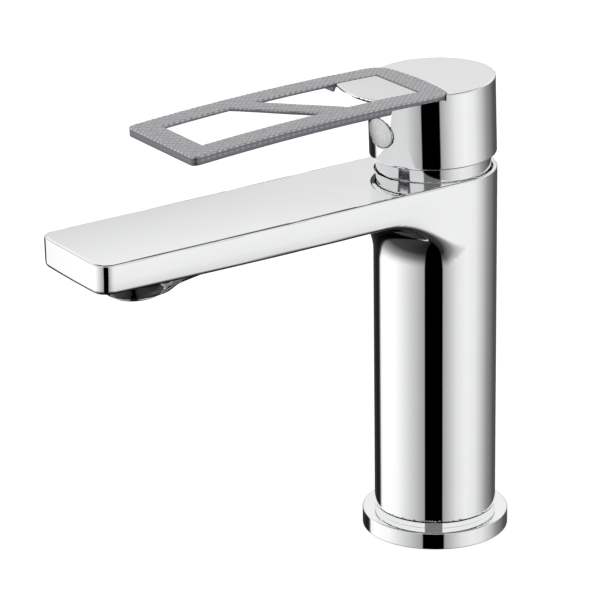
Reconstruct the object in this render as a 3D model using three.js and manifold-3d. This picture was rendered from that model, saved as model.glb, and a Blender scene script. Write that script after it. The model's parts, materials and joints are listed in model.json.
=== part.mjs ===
// Single-lever basin mixer tap, deck mounted.
// Millimetres, +Z up. The origin is the centre of the base flange's underside, on the deck.
// The spout points along -Y, and hot water is on the -X side.
import * as THREE from "three";
import { mergeVertices } from "three/addons/utils/BufferGeometryUtils.js";
import Module from "manifold-3d";

const wasm = await Module();
wasm.setup();

// ---- Driving dimensions ------------------------------------------------------------------
const COLUMN_R = 21; // radius of the round column
const BODY_TOP = 130.5; // height of the body's top face on the column's axis
const TOP_SLOPE = 0.019; // fall of that face for each mm towards the spout's tip
const SPOUT_TIP = 141; // distance from the column's axis to the tip face
const SPOUT_HALF_W = 20.3; // half the spout's width
const SPOUT_CORNER_R = 5; // corners of the spout's tip, seen from above
const CARTRIDGE_LEAN = THREE.MathUtils.degToRad(1.64); // the cartridge leans towards the spout
const PIVOT_Z = 121.3; // height of the lever's tilt axis
const PIVOT_Y = -0.407; // the tilt axis crosses the cartridge's axis here
const HUB_R = 21.5; // radius of the handle's round hub
const HUB_TOP = 40.34; // hub's top above the tilt axis
const LEVER_HALF_W = 21; // half the lever frame's width
const LEVER_TIP = 105.2; // distance from the cartridge's axis to the lever's tip
const CLEARANCE = 0.3; // gap left between neighbouring pieces
const RUNNING = 0.1; // radial gap of the lever's hinge pin

// ---- Base -------------------------------------------------------------------------------
const FLANGE_R = COLUMN_R + 4.3;
const FLANGE_H = 6;
const COLLAR_R = COLUMN_R - 0.2;
const COLLAR_H = FLANGE_H + 1.8;
const SKIRT_Z = COLLAR_H + CLEARANCE; // lower end of the column's outer wall
const SPIGOT_R = 17;
const BASE_BORE_R = 14.8; // open underside of the column, where the supply pipes rise
const BASE_BORE_TOP = 68;
const BLOCK_LOW = 50; // the inlet block fills the upper end of that bore
const INLET_X = 7.2;
const INLET_Y = 4.5;
const INLET_R = 5;
const STUD_Y = -8.6;
const STUD_R = 3.4;

// ---- Cartridge seat ----------------------------------------------------------------------
const CARTRIDGE_R = 17.3; // 35 mm cartridge
const SEAT_Z = -24.3; // floor of the cartridge's bore, from the tilt axis
const NECK_R = 19.5;
const RECESS_R = COLUMN_R - 1; // recess around the neck in the body's top face
const RECESS_Z = 5.5;
const DOME_R = 24.1; // the neck's dome is a sphere about the tilt axis
const HUB_RIM_Z = 14.2; // lower rim of the hub, from the tilt axis
const PORT_X = 6.2;
const PORT_Y = 4.6;
const PORT_R = 2.5;
const OUTLET_Y = -7;
const SPINDLE_W = 7.5;
const ARM_LENGTH = 8.1; // from the tilt axis down to the spindle's ball
const BALL_R = 2.2; // ball on the spindle that drives the sliding disc
const DISC_R = 9.8;

// ---- Spout and aerator ---------------------------------------------------------------------
const CHANNEL_HALF_W = 16;
const CHANNEL_LOW = 120.6;
const CHANNEL_HIGH = 126.2;
const AERATOR_Y = -117;
const AERATOR_Z = 110.2; // lower face of the spout's boss
const AERATOR_LEAN = THREE.MathUtils.degToRad(3);
const AERATOR_R = 9.6;
const AERATOR_BORE_R = 8.9;

// ---- Finishes ------------------------------------------------------------------------------
function finish(color, roughness, metalness) {
  return new THREE.MeshStandardMaterial({ color, roughness, metalness });
}
const chrome = () => finish(0xe6e8ea, 0.05, 1);
const brass = () => finish(0xc9a45c, 0.35, 1);
const steel = () => finish(0xa9adb2, 0.3, 1);
const knurledMetal = () => finish(0x8d8d92, 0.5, 0.8);
const rubber = () => finish(0x1c1c1e, 0.85, 0);
const housingPlastic = () => finish(0xdfe3e6, 0.5, 0);
const rotorPlastic = () => finish(0x4b7f9e, 0.5, 0);
const ceramic = () => finish(0xf2efe8, 0.15, 0);
const aeratorPlastic = () => finish(0x9aa0a6, 0.5, 0);

// ---- Solid helpers -------------------------------------------------------------------------
// A closed three.js geometry as a solid that can be joined and cut.
function solid(geometry) {
  const bare = geometry.index ? geometry.toNonIndexed() : geometry.clone();
  bare.deleteAttribute("normal");
  bare.deleteAttribute("uv");
  const merged = mergeVertices(bare, 1e-4);
  const source = merged.index.array;
  const kept = [];
  for (let i = 0; i < source.length; i += 3) {
    const [a, b, c] = [source[i], source[i + 1], source[i + 2]];
    if (a !== b && b !== c && c !== a) kept.push(a, b, c);
  }
  return new wasm.Manifold(
    new wasm.Mesh({
      numProp: 3,
      vertProperties: merged.attributes.position.array,
      triVerts: new Uint32Array(kept),
    }),
  );
}

// A solid as a three.js geometry.
function geometryOf(shape) {
  const mesh = shape.getMesh();
  const geometry = new THREE.BufferGeometry();
  geometry.setAttribute("position", new THREE.BufferAttribute(mesh.vertProperties, 3));
  geometry.setIndex(new THREE.BufferAttribute(mesh.triVerts, 1));
  const flat = geometry.toNonIndexed();
  flat.computeVertexNormals();
  return flat;
}

function join(first, ...others) {
  return others.reduce((sum, next) => sum.add(next), first);
}

function cut(first, ...others) {
  return others.reduce((rest, next) => rest.subtract(next), first);
}

function shapeOf(points) {
  return new THREE.Shape(points.map(([x, y]) => new THREE.Vector2(x, y)));
}

// A profile of [radius, height] points, counter-clockwise, turned about the Z axis.
function turned(profile, segments = 36) {
  const points = profile.map(([r, z]) => new THREE.Vector2(r, z));
  const first = profile[0];
  const last = profile[profile.length - 1];
  if (first[0] > 0 || last[0] > 0) points.push(points[0].clone());
  return solid(new THREE.LatheGeometry(points, segments).rotateX(Math.PI / 2));
}

// A round bar along Z.
function rod(radius, low, high, x = 0, y = 0, segments = 20) {
  const bar = new THREE.CylinderGeometry(radius, radius, high - low, segments);
  return solid(bar.rotateX(Math.PI / 2).translate(x, y, (low + high) / 2));
}

// A ring with square edges.
function ring(outer, inner, low, high, segments = 36) {
  return turned([[inner, low], [outer, low], [outer, high], [inner, high]], segments);
}

function block(x0, x1, y0, y1, z0, z1) {
  const box = new THREE.BoxGeometry(x1 - x0, y1 - y0, z1 - z0);
  return solid(box.translate((x0 + x1) / 2, (y0 + y1) / 2, (z0 + z1) / 2));
}

// A plan outline raised from one height to another.
function raised(shape, low, high, curveSegments = 10) {
  const options = { depth: high - low, bevelEnabled: false, curveSegments };
  return solid(new THREE.ExtrudeGeometry(shape, options).translate(0, 0, low));
}

// A side view of [y, z] points, counter-clockwise seen from +X, spread from -half to +half in X.
function spread(points, half) {
  const options = { depth: 2 * half, bevelEnabled: false };
  const slab = new THREE.ExtrudeGeometry(shapeOf(points), options);
  slab.translate(0, 0, -half).rotateX(Math.PI / 2).rotateZ(Math.PI / 2);
  return solid(slab);
}

// Points of an arc in the plane of a profile; angles in degrees.
function arc(cx, cy, radius, from, to, steps) {
  return Array.from({ length: steps + 1 }, (_, i) => {
    const angle = THREE.MathUtils.degToRad(from + ((to - from) * i) / steps);
    return [cx + radius * Math.cos(angle), cy + radius * Math.sin(angle)];
  });
}

// A solid that was drawn about the tilt axis, moved into the part's frame.
function atPivot(shape) {
  return shape
    .rotate([THREE.MathUtils.radToDeg(CARTRIDGE_LEAN), 0, 0])
    .translate([0, PIVOT_Y, PIVOT_Z]);
}

// A solid that was drawn about the aerator's axis, moved into the part's frame.
function atAerator(shape) {
  return shape
    .rotate([THREE.MathUtils.radToDeg(AERATOR_LEAN), 0, 0])
    .translate([0, AERATOR_Y, AERATOR_Z]);
}

const mixer = new THREE.Group();
const cartridgeGroup = new THREE.Group(); // everything that is drawn about the tilt axis
cartridgeGroup.position.set(0, PIVOT_Y, PIVOT_Z);
cartridgeGroup.rotation.x = CARTRIDGE_LEAN;
const aeratorGroup = new THREE.Group();
aeratorGroup.position.set(0, AERATOR_Y, AERATOR_Z);
aeratorGroup.rotation.x = AERATOR_LEAN;
mixer.add(cartridgeGroup, aeratorGroup);

function place(name, shape, material, group = mixer) {
  const mesh = new THREE.Mesh(geometryOf(shape), material);
  mesh.name = name;
  group.add(mesh);
}

// ---- Body: column and spout in one casting ---------------------------------------------------
const spoutTopAt = (y) => BODY_TOP + TOP_SLOPE * y;
// The spout's underside rises in a long shallow curve from the tip to the column.
const spoutUnderAt = (y) => 117.5 + 0.00016 * (y + 130) ** 2;

function spoutPlan() {
  const corner = SPOUT_CORNER_R;
  const tip = -SPOUT_TIP;
  const plan = new THREE.Shape();
  plan.moveTo(-SPOUT_HALF_W, 0);
  plan.lineTo(-SPOUT_HALF_W, tip + corner);
  plan.absarc(-SPOUT_HALF_W + corner, tip + corner, corner, Math.PI, 1.5 * Math.PI, false);
  plan.lineTo(SPOUT_HALF_W - corner, tip);
  plan.absarc(SPOUT_HALF_W - corner, tip + corner, corner, 1.5 * Math.PI, 2 * Math.PI, false);
  plan.lineTo(SPOUT_HALF_W, 0);
  return plan;
}

function spoutBar() {
  const steps = 12;
  const under = Array.from({ length: steps + 1 }, (_, i) => {
    const y = -SPOUT_TIP - 2 + ((SPOUT_TIP + 2) * i) / steps;
    return [y, spoutUnderAt(y)];
  });
  const side = [...under, [0, spoutTopAt(0)], [-SPOUT_TIP - 2, spoutTopAt(-SPOUT_TIP - 2)]];
  const slab = spread(side, SPOUT_HALF_W + 2);
  return raised(spoutPlan(), 100, 140, 6).intersect(slab);
}

// Concave blend from the column into the spout's underside.
function spoutBlend() {
  const radius = 19;
  const root = spoutUnderAt(-COLUMN_R - radius);
  const profile = [
    [COLUMN_R - 3, root - radius],
    ...arc(COLUMN_R + radius, root - radius, radius, 180, 90, 6),
    [COLUMN_R + radius, root + 3],
    [COLUMN_R - 3, root + 3],
  ];
  const front = block(-SPOUT_HALF_W, SPOUT_HALF_W, -COLUMN_R - 2 * radius, 0, 80, 124);
  return turned(profile, 48).intersect(front);
}

// Boss for the aerator, with a keel that fades into the spout's underside.
function spoutBoss() {
  const boss = turned([[0, 0], [10.6, 0], [11.2, 2], [12.6, 5], [15, 7.4], [15, 8.6], [0, 8.6]], 28);
  const keel = spread(
    [
      [AERATOR_Y, AERATOR_Z + 0.1],
      [AERATOR_Y + 9, AERATOR_Z + 0.5],
      [AERATOR_Y + 22, AERATOR_Z + 2.6],
      [AERATOR_Y + 40, AERATOR_Z + 6.2],
      [AERATOR_Y + 56, AERATOR_Z + 9.6],
      [AERATOR_Y, AERATOR_Z + 9.6],
    ],
    8.5,
  );
  return join(atAerator(boss), keel);
}

function column() {
  const outer = [
    [0, SKIRT_Z - 6.6],
    [SPIGOT_R - CLEARANCE, SKIRT_Z - 6.6],
    [SPIGOT_R - CLEARANCE, SKIRT_Z],
    [COLUMN_R - 0.3, SKIRT_Z],
    [COLUMN_R, SKIRT_Z + 0.3],
    [COLUMN_R, BODY_TOP + 4],
    [0, BODY_TOP + 4],
  ];
  const reach = COLUMN_R + 4;
  const aboveTop = spread(
    [
      [-reach, spoutTopAt(-reach)],
      [reach, spoutTopAt(reach)],
      [reach, BODY_TOP + 10],
      [-reach, BODY_TOP + 10],
    ],
    reach,
  );
  return turned(outer, 48).subtract(aboveTop);
}

// The cartridge's bore, and the wider recess around the neck.
function cartridgeBore() {
  const bore = rod(CARTRIDGE_R + CLEARANCE, SEAT_Z, RECESS_Z + 1, 0, 0, 36);
  const recess = rod(RECESS_R, RECESS_Z, 20, 0, 0, 36);
  return atPivot(join(bore, recess));
}

// Water leaves the cartridge's seat at the front, rises in the wall and runs along the spout.
function outletWay() {
  const wall = COLUMN_R - 1.7;
  const sump = block(-5, 5, -wall, -4, 92.5, 98);
  const riser = block(-5, 5, -wall, -COLUMN_R + 5, 92.5, CHANNEL_HIGH);
  const channel = block(
    -CHANNEL_HALF_W, CHANNEL_HALF_W, AERATOR_Y - 6, -COLUMN_R + 5, CHANNEL_LOW, CHANNEL_HIGH,
  );
  const socket = atAerator(rod(AERATOR_BORE_R, -3, 9.4, 0, 0, 32));
  const throat = rod(6.4, 116, CHANNEL_HIGH - 1, 0, AERATOR_Y, 32);
  return join(sump, riser, channel, socket, throat);
}

function inletWays() {
  const ways = [-1, 1].map((side) => rod(PORT_R, BASE_BORE_TOP - 1, 99, side * PORT_X, PORT_Y, 20));
  return join(...ways);
}

function body() {
  const casting = join(column(), spoutBar(), spoutBlend(), spoutBoss());
  const baseBore = rod(BASE_BORE_R, -1, BASE_BORE_TOP, 0, 0, 36);
  return cut(casting, cartridgeBore(), outletWay(), baseBore, inletWays());
}
place("faucet_body", body(), chrome());

// ---- Base pieces -----------------------------------------------------------------------------
const SEAL_OUTER_R = FLANGE_R - 2.8;
const SEAL_INNER_R = SPIGOT_R + 1.2;
const SEAL_H = 1.6;

function flange() {
  const profile = [
    [SPIGOT_R, SEAL_H + CLEARANCE + 0.6],
    [SPIGOT_R, 0],
    [SEAL_INNER_R - CLEARANCE, 0],
    [SEAL_INNER_R - CLEARANCE, SEAL_H + CLEARANCE],
    [SEAL_OUTER_R + CLEARANCE, SEAL_H + CLEARANCE],
    [SEAL_OUTER_R + CLEARANCE, 0],
    [FLANGE_R - 0.3, 0],
    [FLANGE_R, 0.3],
    ...arc(FLANGE_R - 0.9, FLANGE_H - 0.9, 0.9, 0, 90, 3),
    [COLLAR_R, FLANGE_H],
    [COLLAR_R, COLLAR_H],
    [SPIGOT_R, COLLAR_H],
  ];
  return turned(profile, 44);
}
place("base_flange", flange(), chrome());
place("base_seal", ring(SEAL_OUTER_R, SEAL_INNER_R, 0.1, SEAL_H), rubber());

// Brass block with the two inlets and the stud's socket.
function inletBlock() {
  const high = BASE_BORE_TOP - CLEARANCE;
  const plug = rod(BASE_BORE_R - CLEARANCE, BLOCK_LOW, high, 0, 0, 36);
  const inlets = [-1, 1].map((side) => rod(INLET_R, BLOCK_LOW - 1, high + 1, side * INLET_X, INLET_Y, 32));
  return cut(plug, ...inlets, rod(STUD_R, BLOCK_LOW - 1, high + 1, 0, STUD_Y, 24));
}
place("inlet_block", inletBlock(), brass());

// Threaded brass bush that a supply pipe screws into.
function inletBush(side) {
  const low = BLOCK_LOW - 1.5;
  const high = BLOCK_LOW + 12;
  const sleeve = cut(rod(INLET_R - CLEARANCE, low, high, 0, 0, 24), rod(3.2, low - 1, high + 1, 0, 0, 24));
  return sleeve.translate([side * INLET_X, INLET_Y, 0]);
}
place("hot_inlet_bush", inletBush(-1), brass());
place("cold_inlet_bush", inletBush(1), brass());

// ---- Cartridge, fixed pieces --------------------------------------------------------------------
const HOUSING_TOP = 6;
const HOUSING_INNER_R = 13.9;
const HOUSING_LIP_R = 11;
const HOUSING_LIP_Z = 3.5;
const BASE_TOP = -17.8;
const BASE_INNER_R = 16;
const ORING_GROOVE_Z = 1.5;

function cartridgeHousing() {
  const low = SEAT_Z + 3.5;
  return turned([
    [BASE_INNER_R + CLEARANCE, low],
    [CARTRIDGE_R, low],
    [CARTRIDGE_R, ORING_GROOVE_Z - 1.2],
    [CARTRIDGE_R - 1.3, ORING_GROOVE_Z - 1.2],
    [CARTRIDGE_R - 1.3, ORING_GROOVE_Z + 1.2],
    [CARTRIDGE_R, ORING_GROOVE_Z + 1.2],
    [CARTRIDGE_R, HOUSING_TOP],
    [HOUSING_LIP_R, HOUSING_TOP],
    [HOUSING_LIP_R, HOUSING_LIP_Z],
    [HOUSING_INNER_R, HOUSING_LIP_Z],
    [HOUSING_INNER_R, BASE_TOP + CLEARANCE],
    [BASE_INNER_R + CLEARANCE, BASE_TOP + CLEARANCE],
  ]);
}
place("cartridge_housing", cartridgeHousing(), housingPlastic(), cartridgeGroup);

const SEAL_POCKET_R = PORT_R + 1.5;
const SEAL_POCKET_TOP = SEAT_Z + 2.8;
const portPlaces = [[-PORT_X, PORT_Y], [PORT_X, PORT_Y]];

function cartridgeBase() {
  const plate = turned([
    [0, SEAT_Z + CLEARANCE],
    [BASE_INNER_R, SEAT_Z + CLEARANCE],
    [BASE_INNER_R, BASE_TOP],
    [0, BASE_TOP],
  ]);
  const holes = portPlaces.map(([x, y]) => {
    const bore = rod(PORT_R, SEAT_Z, 0, x, y, 20);
    return join(bore, rod(SEAL_POCKET_R + CLEARANCE, SEAT_Z - 1, SEAL_POCKET_TOP + CLEARANCE, x, y, 24));
  });
  const outlet = rod(3.2, SEAT_Z - 1, 0, 0, OUTLET_Y, 24);
  return cut(plate, ...holes, outlet);
}
place("cartridge_base", cartridgeBase(), housingPlastic(), cartridgeGroup);

function portSeal([x, y]) {
  return ring(SEAL_POCKET_R, PORT_R, SEAT_Z + 0.05, SEAL_POCKET_TOP, 24).translate([x, y, 0]);
}
place("hot_port_seal", portSeal(portPlaces[0]), rubber(), cartridgeGroup);
place("cold_port_seal", portSeal(portPlaces[1]), rubber(), cartridgeGroup);

const FIXED_DISC_TOP = BASE_TOP + 3.5;
function fixedDisc() {
  const holes = portPlaces.map(([x, y]) => rod(PORT_R - 0.2, -30, 0, x, y, 20));
  const outlet = rod(3, -30, 0, 0, OUTLET_Y, 24);
  return cut(rod(12.6, BASE_TOP + CLEARANCE, FIXED_DISC_TOP, 0, 0, 36), ...holes, outlet);
}
place("fixed_ceramic_disc", fixedDisc(), ceramic(), cartridgeGroup);

// A rubber ring of round section.
function oRing(centreR, sectionR, z, segments = 36) {
  return turned(arc(centreR, z, sectionR, 0, 300, 5), segments);
}
place("cartridge_o_ring", oRing(CARTRIDGE_R - 0.35, 0.6, ORING_GROOVE_Z), rubber(), cartridgeGroup);

const NUT_TOP = 13.2;
function retainingNut() {
  const thread = ring(CARTRIDGE_R - 0.4, 12.9, HOUSING_TOP + CLEARANCE, 9.5);
  const crown = raised(shapeOf(arc(0, 0, 16.4, 0, 300, 5)), 9.4, NUT_TOP);
  return join(thread, cut(crown, rod(12.9, 9, NUT_TOP + 1, 0, 0, 36)));
}
place("retaining_nut", retainingNut(), brass(), cartridgeGroup);

const DOME_TOP = 18;
function neckDome() {
  const rimAngle = THREE.MathUtils.radToDeg(Math.acos(NECK_R / DOME_R));
  const crownAngle = THREE.MathUtils.radToDeg(Math.asin(DOME_TOP / DOME_R));
  const low = HOUSING_TOP + CLEARANCE;
  return turned([
    [17.2, low],
    [NECK_R, low],
    [NECK_R, low + 0.4],
    [NECK_R - 1.5, low + 0.4],
    [NECK_R - 1.5, low + 2.4],
    [NECK_R, low + 2.4],
    ...arc(0, 0, DOME_R, rimAngle, crownAngle, 4),
    [12.6, DOME_TOP],
    [12.6, DOME_TOP - 1.4],
    [15, DOME_TOP - 1.6],
    [17.2, NUT_TOP + CLEARANCE],
  ], 40);
}
place("neck_dome", neckDome(), chrome(), cartridgeGroup);
place("neck_o_ring", oRing(NECK_R - 0.45, 0.7, HOUSING_TOP + CLEARANCE + 1.4), rubber(), cartridgeGroup);

// ---- Cartridge, swivelling pieces -----------------------------------------------------------------
const ROTOR_TOP = 8.4;
const ROTOR_LOW = -6;
const PIN_R = 1.5;

function rotor() {
  const turnedBody = turned([
    [0, ROTOR_LOW],
    [HOUSING_INNER_R - CLEARANCE, ROTOR_LOW],
    [HOUSING_INNER_R - CLEARANCE, HOUSING_LIP_Z - CLEARANCE],
    [HOUSING_LIP_R - CLEARANCE, HOUSING_LIP_Z - CLEARANCE],
    [HOUSING_LIP_R - CLEARANCE, ROTOR_TOP],
    [0, ROTOR_TOP],
  ]);
  const ribs = [-1, 1].map((side) => {
    const inner = side * (DISC_R + 0.8);
    const outer = side * (DISC_R + 2.6);
    return block(Math.min(inner, outer), Math.max(inner, outer), -5, 5, -9.6, ROTOR_LOW + 1);
  });
  const slot = block(-SPINDLE_W / 2 - 0.35, SPINDLE_W / 2 + 0.35, -7, 7.6, -12, 12);
  const pinHole = rod(PIN_R + 0.05, -12.6, 12.6).rotate([0, 90, 0]);
  return cut(join(turnedBody, ...ribs), slot, pinHole);
}
place("cartridge_rotor", rotor(), rotorPlastic(), cartridgeGroup);
place("hinge_pin", rod(PIN_R, -12, 12).rotate([0, 90, 0]), steel(), cartridgeGroup);

// ---- Cartridge, sliding pieces ----------------------------------------------------------------------
const CARRIER_TOP = -6.9;
const CARRIER_LOW = -10.5;
const MOVING_DISC_LOW = FIXED_DISC_TOP + CLEARANCE;
const KEY_X = DISC_R - 1.4;

function discCarrier() {
  const plate = rod(DISC_R + 0.4, CARRIER_LOW, CARRIER_TOP, 0, 0, 32);
  const keys = [-1, 1].map((side) => rod(0.9, CARRIER_LOW - 1.8, CARRIER_LOW + 1, side * KEY_X, 0, 16));
  return cut(join(plate, ...keys), rod(BALL_R + CLEARANCE, -12, 0, 0, 0, 24));
}
place("disc_carrier", discCarrier(), rotorPlastic(), cartridgeGroup);

function movingDisc() {
  const plate = rod(DISC_R, MOVING_DISC_LOW, CARRIER_LOW - CLEARANCE, 0, 0, 32);
  const chamber = rod(6, MOVING_DISC_LOW - 1, MOVING_DISC_LOW + 1.6, 0, 0, 32);
  const keyHoles = [-1, 1].map((side) => rod(1.2, -20, -5, side * KEY_X, 0, 16));
  return cut(plate, chamber, ...keyHoles);
}
place("moving_ceramic_disc", movingDisc(), ceramic(), cartridgeGroup);

// ---- Handle ------------------------------------------------------------------------------------------
const SPINDLE_TOP = 34;
const SOCKET_TOP = 35;
const HUB_WALL_R = 19.8; // inside of the hub's wall
const BOSS_R = 6.2;
const BOSS_LOW = 22;
const SCREW_Z = 24.9;
const SCREW_R = 2;
const BUTTON_HALF_W = 7.3;
const BUTTON_HALF_H = 5;
const BUTTON_T = 0.9;
const STEM_R = 3.4;

function spindle() {
  const half = SPINDLE_W / 2;
  const stem = block(-half, half, -half, half, -4, SPINDLE_TOP);
  const arm = rod(1.5, -ARM_LENGTH, -3, 0, 0, 16);
  const ball = solid(new THREE.SphereGeometry(BALL_R, 16, 10).translate(0, 0, -ARM_LENGTH));
  const pinHole = rod(PIN_R + RUNNING, -6, 6).rotate([0, 90, 0]);
  return cut(join(stem, arm, ball), pinHole);
}
place("spindle", spindle(), brass(), cartridgeGroup);

// The lever's top is one long arc; its crest lies in front of the hub.
const LEVER_ARC_R = 990;
const LEVER_CREST_Y = -42.1;
const LEVER_CREST_Z = 41.16;
const LEVER_T = 3.1; // thickness of the free part
const LEVER_SEAT_T = 1.8; // thickness where it lies in the hub's seat
const LEVER_PLATE_T = 1.3; // thickness inside the outer rim of the free part
const LEVER_RIM_W = 2.5;
const SEAT_FRONT_Y = -30.1; // front end of the seat
const leverTopAt = (y) => {
  const drop = LEVER_ARC_R - Math.sqrt(LEVER_ARC_R ** 2 - (y - LEVER_CREST_Y) ** 2);
  return LEVER_CREST_Z - drop;
};
const hubTopAt = (y) => HUB_TOP + 0.0194 * y;

// Points [y, z] along the lever's arc, at a depth below its top.
function leverLine(from, to, depth, steps = 8) {
  return Array.from({ length: steps + 1 }, (_, i) => {
    const y = from + ((to - from) * i) / steps;
    return [y, leverTopAt(y) - depth];
  });
}

const REAR_ARC_R = 88; // the frame's rear edge bows towards the back of the hub
const REAR_Y = -4.3;
function rearEdge(grow, half) {
  const reach = REAR_ARC_R + grow;
  const angle = THREE.MathUtils.radToDeg(Math.asin(half / reach));
  return arc(0, REAR_Y - REAR_ARC_R, reach, 90 - angle, 90 + angle, 8);
}

const RAIL_W = 8.5;
const INNER_HALF_W = LEVER_HALF_W - RAIL_W;
const REAR_OPENING_Y = -13.6; // rear end of the rear opening
const FRONT_OPENING = [
  [-INNER_HALF_W, -LEVER_TIP + RAIL_W],
  [INNER_HALF_W, -LEVER_TIP + RAIL_W],
  [INNER_HALF_W, -51.6],
  [-INNER_HALF_W, -71.3],
];
const REAR_OPENING = [
  [-INNER_HALF_W, -62.4],
  [INNER_HALF_W, -41.2],
  [INNER_HALF_W, REAR_OPENING_Y],
  [-INNER_HALF_W, REAR_OPENING_Y],
];

function leverPlan() {
  const corner = 2.5;
  const tip = -LEVER_TIP;
  const plan = new THREE.Shape();
  plan.moveTo(-LEVER_HALF_W + corner, tip);
  plan.lineTo(LEVER_HALF_W - corner, tip);
  plan.absarc(LEVER_HALF_W - corner, tip + corner, corner, 1.5 * Math.PI, 2 * Math.PI, false);
  const rear = rearEdge(0, LEVER_HALF_W - corner);
  const shoulder = rear[0][1] - corner;
  plan.lineTo(LEVER_HALF_W, shoulder);
  rear.forEach(([x, y]) => plan.lineTo(x, y));
  plan.lineTo(-LEVER_HALF_W, shoulder);
  plan.lineTo(-LEVER_HALF_W, tip + corner);
  plan.absarc(-LEVER_HALF_W + corner, tip + corner, corner, Math.PI, 1.5 * Math.PI, false);
  return plan;
}

function leverFrame() {
  const side = [
    ...leverLine(-LEVER_TIP - 2, SEAT_FRONT_Y, LEVER_T),
    ...leverLine(SEAT_FRONT_Y, 0, LEVER_SEAT_T, 4),
    ...leverLine(-LEVER_TIP - 2, 0, 0, 12).reverse(),
  ];
  const bar = raised(leverPlan(), 30, 50, 5).intersect(spread(side, LEVER_HALF_W + 2));
  const openings = [FRONT_OPENING, REAR_OPENING].map((points) => raised(shapeOf(points), 20, 60));
  const tray = spread(
    [
      [-LEVER_TIP + LEVER_RIM_W, 20],
      [SEAT_FRONT_Y - 1, 20],
      ...leverLine(-LEVER_TIP + LEVER_RIM_W, SEAT_FRONT_Y - 1, LEVER_PLATE_T).reverse(),
    ],
    LEVER_HALF_W - LEVER_RIM_W,
  );
  const screwHoles = frameScrewPlaces.map(([x, y]) => rod(1.1, 30, leverTopAt(y) - 0.7, x, y, 16));
  return cut(bar, tray, ...openings, ...screwHoles);
}

// The frame's seat on the hub: a short round-nosed tongue under the rails.
const TONGUE_HALF_W = 16;
const TONGUE_R = 32.3;
const TONGUE_T = 1.2;
const PAD_DEPTH = 0.25; // the raised pad in the rear opening lies this far below the frame's top
const frameScrewPlaces = [[-14.2, -9.5], [14.2, -9.5]];

function tongue() {
  const depth = LEVER_SEAT_T + CLEARANCE;
  const under = depth + TONGUE_T;
  const side = [
    ...leverLine(-TONGUE_R, -8, under, 4),
    ...leverLine(-TONGUE_R, -8, depth, 4).reverse(),
  ];
  const nose = rod(TONGUE_R, 20, 50, 0, 0, 64);
  const plate = spread(side, TONGUE_HALF_W).intersect(nose);
  return join(plate, tongueBlend(leverTopAt(-TONGUE_R) - under));
}

function tonguePad() {
  const rear = REAR_OPENING_Y - CLEARANCE;
  const side = [
    ...leverLine(-TONGUE_R, rear, LEVER_SEAT_T + TONGUE_T, 4),
    ...leverLine(-TONGUE_R, rear, PAD_DEPTH, 4).reverse(),
  ];
  const nose = rod(TONGUE_R, 20, 50, 0, 0, 64);
  return spread(side, INNER_HALF_W - CLEARANCE).intersect(nose);
}

// Concave blend from the hub's wall into the tongue's underside.
function tongueBlend(underZ) {
  const radius = 2;
  const profile = [
    [HUB_R - 1, underZ - radius],
    ...arc(HUB_R + radius, underZ - radius, radius, 180, 90, 5),
    [HUB_R + radius, underZ + 1],
    [HUB_R - 1, underZ + 1],
  ];
  const front = block(-TONGUE_HALF_W, TONGUE_HALF_W, -HUB_R - radius - 1, -8, 20, 40);
  return turned(profile, 48).intersect(front);
}

function frameSeat() {
  const points = [
    ...rearEdge(CLEARANCE, LEVER_HALF_W + 3),
    [-LEVER_HALF_W - 3, -60],
    [LEVER_HALF_W + 3, -60],
  ];
  const side = [
    ...leverLine(-60, 0, LEVER_SEAT_T + CLEARANCE, 6),
    [0, 60],
    [-60, 60],
  ];
  return raised(shapeOf(points), 30, 60).intersect(spread(side, LEVER_HALF_W + 4));
}

// An oval piece of a round wall at the front of the hub, between two radii.
function ovalPlate(inner, outer, grow) {
  const oval = new THREE.Shape();
  oval.absellipse(0, 0, BUTTON_HALF_W + grow, BUTTON_HALF_H + grow, 0, 2 * Math.PI, false);
  const bar = raised(oval, 0, outer + 1, 16).rotate([90, 0, 0]).translate([0, 0, SCREW_Z]);
  return ring(outer, inner, SCREW_Z - 9, SCREW_Z + 9, 48).intersect(bar);
}

function hub() {
  const outer = turned([
    [0, HUB_RIM_Z],
    [HUB_R - 0.5, HUB_RIM_Z],
    [HUB_R, HUB_RIM_Z + 0.5],
    [HUB_R, 44],
    [0, 44],
  ], 48);
  const cavity = ring(HUB_WALL_R, BOSS_R, HUB_RIM_Z - 1, SOCKET_TOP, 48);
  const underBoss = rod(BOSS_R + 0.5, HUB_RIM_Z - 1, BOSS_LOW, 0, 0, 36);
  const reach = HUB_R + 2;
  const aboveTop = spread(
    [[-reach, hubTopAt(-reach)], [reach, hubTopAt(reach)], [reach, 60], [-reach, 60]],
    reach,
  );
  const half = SPINDLE_W / 2 + 0.2;
  const socket = block(-half, half, -half, half, BOSS_LOW - 1, SOCKET_TOP);
  const screwBore = rod(SCREW_R + RUNNING, 0, HUB_R + 2).rotate([90, 0, 0]).translate([0, 0, SCREW_Z]);
  const stemBore = rod(STEM_R + CLEARANCE, HUB_WALL_R - 1, HUB_R, 0, 0, 24)
    .rotate([90, 0, 0])
    .translate([0, 0, SCREW_Z]);
  const pocket = ovalPlate(HUB_R - BUTTON_T - CLEARANCE, HUB_R + 2, CLEARANCE);
  const screwHoles = frameScrewPlaces.map(([x, y]) => rod(1.4, 30, 50, x, y, 16));
  const shell = cut(outer, cavity, underBoss, aboveTop);
  const seated = join(cut(join(shell, tongue()), frameSeat()), tonguePad());
  return cut(seated, socket, screwBore, stemBore, pocket, ...screwHoles);
}
place("handle_hub", hub(), chrome(), cartridgeGroup);
place("lever_frame", leverFrame(), knurledMetal(), cartridgeGroup);

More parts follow.
